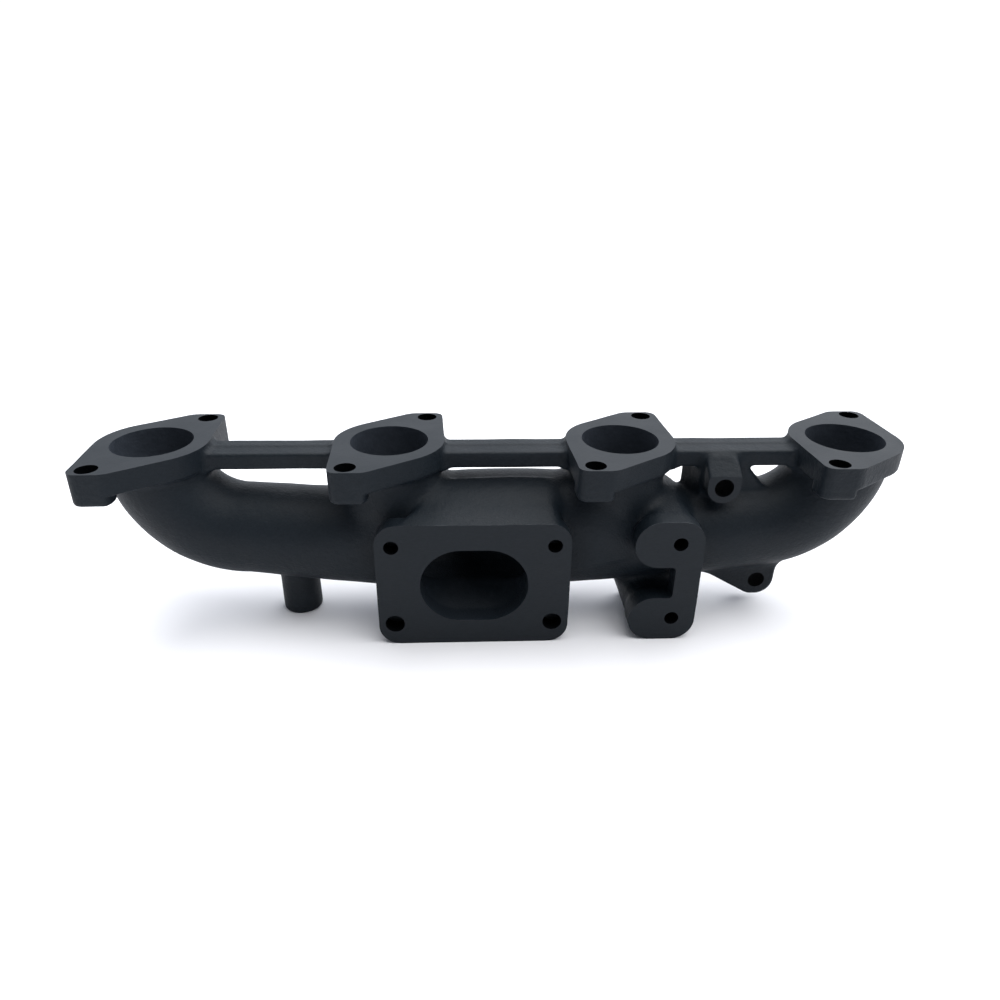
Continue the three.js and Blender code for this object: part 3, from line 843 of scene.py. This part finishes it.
def hole_walls(points, centres, facing):
    """For each point the way to the axis of its drilled hole, and which faces are hole walls."""
    inward = np.zeros_like(points)
    is_wall = np.zeros(len(centres), bool)
    for axis, place, radius, low, high in drilled_holes():
        across = [a for a in range(3) if a != axis]
        offset = points[:, across] - place
        near = (np.hypot(*offset.T) < radius + ON_HOLE) & (slab(points[:, axis], low, high) < 0)
        inward[np.ix_(near, across)] = -offset[near]
        distance = np.hypot(*(centres[:, across] - place).T)
        deep = slab(centres[:, axis], low, high) < HOLE_END
        is_wall |= deep & (distance < radius + ON_HOLE) & (np.abs(facing[:, axis]) < ACROSS)
    return unit_rows(inward), is_wall


def finish_faces(mesh, field, slope):
    """Smooth cast faces and hole walls, flat milled faces, their materials, the rims by milled
    faces (rubbed paint and a painted highlight) and the marks for painted light in the bore.
    """
    points = read(mesh.vertices, "co") * 1000
    centres = read(mesh.polygons, "center") * 1000
    facing = read(mesh.polygons, "normal")
    outward = unit_rows(field.sample(slope, centres))
    near_skin = np.abs(field.sample(field.values, centres)) < CELL / 2
    inward, is_wall = hole_walls(points, centres, facing)
    cast = near_skin & ((outward * facing).sum(axis=1) > LIKENESS) & ~is_wall
    corners = read(mesh.loops, "vertex_index", 1, np.int32)
    owner = np.repeat(np.arange(len(mesh.polygons)), read(mesh.polygons, "loop_total", 1, np.int32))
    smooth = unit_rows(field.sample(slope, points))
    normals = np.where(cast[owner, None], smooth[corners], facing[owner])
    normals = np.where(is_wall[owner, None], inward[corners], normals)
    mesh.shade_smooth()
    mesh.normals_split_custom_set(normals.tolist())
    mesh.polygons.foreach_set("material_index", np.where(is_wall, 2, ~cast).astype(np.int32))
    _, y, z = points.T
    # Vertices on the milled faces mark the rims, which the cast look lightens: partly paint rubbed
    # off, partly a painted highlight.
    at_face = (z < MILLED_HEIGHT) & (np.abs(y - OUTLET_LOW[1]) < ON_FACE)
    mark_points(mesh, "rim", at_face | (np.abs(z - PORT_TOP) < ON_FACE))
    # Passage walls get painted light in the cast look, and less of it below BORE_BOTTOM as painted
    # shade.
    at_passage = np.abs(passage_distance(*points.T)) < CELL / 2
    mark_points(mesh, "bore", at_passage * np.where(z > BORE_BOTTOM, 1, DEEP_BORE_LIGHT))
    mesh.update()


# ---- Materials ----

def node(tree, kind, values=None, **settings):
    """New node with settings, and with a value or a link for each input named in values."""
    made = tree.nodes.new(kind)
    for name, value in settings.items():
        setattr(made, name, value)
    for name, value in (values or {}).items():
        if isinstance(value, bpy.types.NodeSocket):
            tree.links.new(value, made.inputs[name])
        else:
            made.inputs[name].default_value = value
    return made


def noise(tree, place, scale, detail=3.0):
    values = {"Vector": place, "Scale": scale, "Detail": detail, "Roughness": 0.6}
    return node(tree, "ShaderNodeTexNoise", values).outputs["Fac"]


def ranged(tree, value, low, high, to_low, to_high):
    limits = {"From Min": low, "From Max": high, "To Min": to_low, "To Max": to_high}
    return node(tree, "ShaderNodeMapRange", {"Value": value, **limits}).outputs["Result"]


def mixed(tree, share, first, second):
    mix = node(tree, "ShaderNodeMix", data_type="RGBA")
    for i, value in ((0, share), (6, first), (7, second)):
        if isinstance(value, bpy.types.NodeSocket):
            tree.links.new(value, mix.inputs[i])
        else:
            mix.inputs[i].default_value = value
    return mix.outputs[2]


def painted_iron(name, look):
    """Thin matt charcoal paint over iron, with the grain of the face under it. The cast look adds
    painted light on the passage walls and a painted highlight on the rims; the hole look is painted
    shade.
    """
    material = bpy.data.materials.new(name)
    material.use_nodes = True
    tree = material.node_tree
    place = node(tree, "ShaderNodeTexCoord").outputs["Object"]
    stretch = {"Vector": place, "Scale": look["stretch"]}
    grain = noise(tree, node(tree, "ShaderNodeMapping", stretch).outputs["Vector"], look["grain"])
    swell = noise(tree, place, SWELL_SCALE, 2)
    cloud = noise(tree, place, CLOUD_SCALE)
    patch = noise(tree, place, PATCH_SCALE)
    colour = mixed(tree, ranged(tree, cloud, *CLOUD_RANGE, 0, 1), look["dark"], look["light"])
    colour = mixed(tree, ranged(tree, grain, *GRAIN_RANGE, 0, DUST_SHARE), colour, look["dust"])
    if look["cast"]:
        # Passage walls: a lighter colour as painted light, with less of it deep down as painted
        # shade.
        bore = node(tree, "ShaderNodeAttribute", attribute_name="bore").outputs["Fac"]
        colour = mixed(tree, bore, colour, mixed(tree, patch, *BORE_PAINTED_LIGHT))
        # Rims by milled faces: lighter in patches, partly paint rubbed to bare iron and partly a
        # painted highlight on the edge.
        rim = node(tree, "ShaderNodeAttribute", attribute_name="rim").outputs["Fac"]
        rim_patches = ranged(tree, patch, *PATCH_RANGE, LEAST_RUB_AND_HIGHLIGHT, 1)
        rubbed_and_highlit = node(tree, "ShaderNodeMath", {0: rim, 1: rim_patches}, operation="MULTIPLY").outputs[0]
        colour = mixed(tree, rubbed_and_highlit, colour, BARE_IRON_AND_HIGHLIGHT)
    height = node(tree, "ShaderNodeMath", {0: swell, 1: look["swell"], 2: grain},
                  operation="MULTIPLY_ADD").outputs[0]
    bump = node(tree, "ShaderNodeBump", {"Height": height, "Distance": look["bump"]})
    shader = tree.nodes["Principled BSDF"]
    tree.links.new(colour, shader.inputs["Base Color"])
    roughness = ranged(tree, cloud, *CLOUD_RANGE, *look["roughness"])
    tree.links.new(roughness, shader.inputs["Roughness"])
    tree.links.new(bump.outputs["Normal"], shader.inputs["Normal"])
    shader.inputs["Specular IOR Level"].default_value = look["specular"]
    return material


# Scales of the noises, the ranges of them that count, the most dust, and the least of the rubbed
# paint and painted highlight on the rims.
SWELL_SCALE, CLOUD_SCALE, PATCH_SCALE = 330, 38, 150
CLOUD_RANGE, GRAIN_RANGE, PATCH_RANGE = (0.3, 0.7), (0.35, 0.75), (0.42, 0.72)
DUST_SHARE, LEAST_RUB_AND_HIGHLIGHT = 0.35, 0.05
# Colour of the rims: rubbed-bare iron and a painted highlight.
BARE_IRON_AND_HIGHLIGHT = (0.10, 0.11, 0.125, 1)
# Colours of the painted light on the passage walls.
BORE_PAINTED_LIGHT = ((0.024, 0.030, 0.040, 1), (0.046, 0.055, 0.070, 1))
CAST_LOOK = {
    "dark": (0.0026, 0.0056, 0.0092, 1), "light": (0.0046, 0.0084, 0.0126, 1),
    "dust": (0.011, 0.016, 0.021, 1), "roughness": (0.52, 0.62), "specular": 0.195,
    "stretch": (1, 1, 1), "grain": 1050, "swell": 1.4, "bump": 0.00022, "cast": True,
}
MILLED_LOOK = {
    "dark": (0.0026, 0.0056, 0.0092, 1), "light": (0.0038, 0.0074, 0.0112, 1),
    "dust": (0.009, 0.013, 0.018, 1), "roughness": (0.47, 0.55), "specular": 0.205,
    "stretch": (0.25, 1, 1), "grain": 1500, "swell": 0.5, "bump": 0.00006, "cast": False,
}
# Hole walls: near black and hardly shiny, a painted shade inside the drilled holes.
HOLE_SHADE_LOOK = {
    "dark": (0.0010, 0.0014, 0.0020, 1), "light": (0.0016, 0.0022, 0.0030, 1),
    "dust": (0.003, 0.004, 0.005, 1), "roughness": (0.80, 0.90), "specular": 0.03,
    "stretch": (1, 1, 0.3), "grain": 1300, "swell": 0.4, "bump": 0.00010, "cast": False,
}

# ---- The sub-parts ----


def make_casting():
    field = make_field()
    slope = np.stack(np.gradient(field.values, CELL), axis=-1)
    casting = cast_skin(field)
    mill(casting)
    drill(casting)
    looks = {"cast_paint": CAST_LOOK, "milled_paint": MILLED_LOOK, "hole_wall": HOLE_SHADE_LOOK}
    materials = [painted_iron(*look) for look in looks.items()]
    for name, piece in divide(casting).items():
        drop_crumbs(piece)
        piece.data.materials.clear()
        for material in materials:
            piece.data.materials.append(material)
        finish_faces(piece.data, field, slope)
        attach(piece, "root")
        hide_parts(name)


# ---- Studio ----

CAMERA_PLACE = (-0.02018, -0.36244, 0.24723)
CAMERA_YAW, CAMERA_PITCH, CAMERA_ROLL, CAMERA_LENS = 0.049, 0.4657, 0.0125, 27.07
LIGHT_FROM, LIGHT_ANGLE, LIGHT_ENERGY = (0.35, 0.15, 1), math.radians(84), 4.6
FLOOR_HALF, FLOOR_COLOUR = 6, (0.94, 0.94, 0.965, 1)
FLOOR_ROUGHNESS, FLOOR_SPECULAR = 0.9, 0.1
ROOM_COLOUR, ROOM_DEPTH, ROOM_STRENGTH = (0.92, 0.97, 1.06, 1), (0.1, 0.75), (0.22, 1.4)
BACKDROP_COLOUR, BACKDROP_STRENGTH = (1, 1, 1, 1), 1.05


def add_camera():
    yaw, pitch, roll = CAMERA_YAW, CAMERA_PITCH, CAMERA_ROLL
    ahead = Vector((
        math.sin(yaw) * math.cos(pitch), math.cos(yaw) * math.cos(pitch), -math.sin(pitch)))
    right = Vector((math.cos(yaw), -math.sin(yaw), 0))
    up = right.cross(ahead)
    turned_right = right * math.cos(roll) + up * math.sin(roll)
    turned_up = up * math.cos(roll) - right * math.sin(roll)
    camera = new_object("camera", bpy.data.cameras.new("camera"))
    camera.data.sensor_width = 36
    camera.data.lens = CAMERA_LENS
    turn = Matrix((turned_right, turned_up, -ahead)).transposed().to_4x4()
    camera.matrix_world = Matrix.Translation(CAMERA_PLACE) @ turn
    bpy.context.scene.camera = camera


def add_light():
    """One broad soft light above, a little behind and to the right."""
    data = bpy.data.lights.new("soft_sky", "SUN")
    data.angle = LIGHT_ANGLE
    data.energy = LIGHT_ENERGY
    light = new_object("soft_sky", data)
    light.rotation_euler = Vector(LIGHT_FROM).to_track_quat("Z", "Y").to_euler()


def add_floor():
    half = FLOOR_HALF
    mesh = bpy.data.meshes.new("floor")
    corners = [(-half, -half, 0), (half, -half, 0), (half, half, 0), (-half, half, 0)]
    mesh.from_pydata(corners, [], [(0, 1, 2, 3)])
    material = bpy.data.materials.new("floor_paper")
    material.use_nodes = True
    shader = material.node_tree.nodes["Principled BSDF"]
    shader.inputs["Base Color"].default_value = FLOOR_COLOUR
    shader.inputs["Roughness"].default_value = FLOOR_ROUGHNESS
    shader.inputs["Specular IOR Level"].default_value = FLOOR_SPECULAR
    mesh.materials.append(material)
    new_object("floor", mesh)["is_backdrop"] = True


def add_world():
    """White behind the object, and a room that is bright behind it and dim in front of it."""
    world = bpy.data.worlds.new("studio")
    bpy.context.scene.world = world
    world.use_nodes = True
    tree = world.node_tree
    way = node(tree, "ShaderNodeTexCoord").outputs["Generated"]
    depth = node(tree, "ShaderNodeSeparateXYZ", {"Vector": way}).outputs["Y"]
    strength = ranged(tree, depth, *ROOM_DEPTH, *ROOM_STRENGTH)
    room = node(tree, "ShaderNodeBackground", {"Color": ROOM_COLOUR, "Strength": strength})
    backdrop = {"Color": BACKDROP_COLOUR, "Strength": BACKDROP_STRENGTH}
    seen = node(tree, "ShaderNodeBackground", backdrop)
    camera_ray = node(tree, "ShaderNodeLightPath").outputs["Is Camera Ray"]
    mix = node(tree, "ShaderNodeMixShader", {
        0: camera_ray, 1: room.outputs["Background"], 2: seen.outputs["Background"]})
    output = next(n for n in tree.nodes if n.type == "OUTPUT_WORLD")
    tree.links.new(mix.outputs["Shader"], output.inputs["Surface"])


def add_studio():
    add_camera()
    add_floor()
    add_world()
    add_light()
    bpy.context.scene.view_settings.view_transform = "Standard"


make_casting()
add_studio()

[[list(corner) for corner in box] for box in (cad_bounds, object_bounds())]
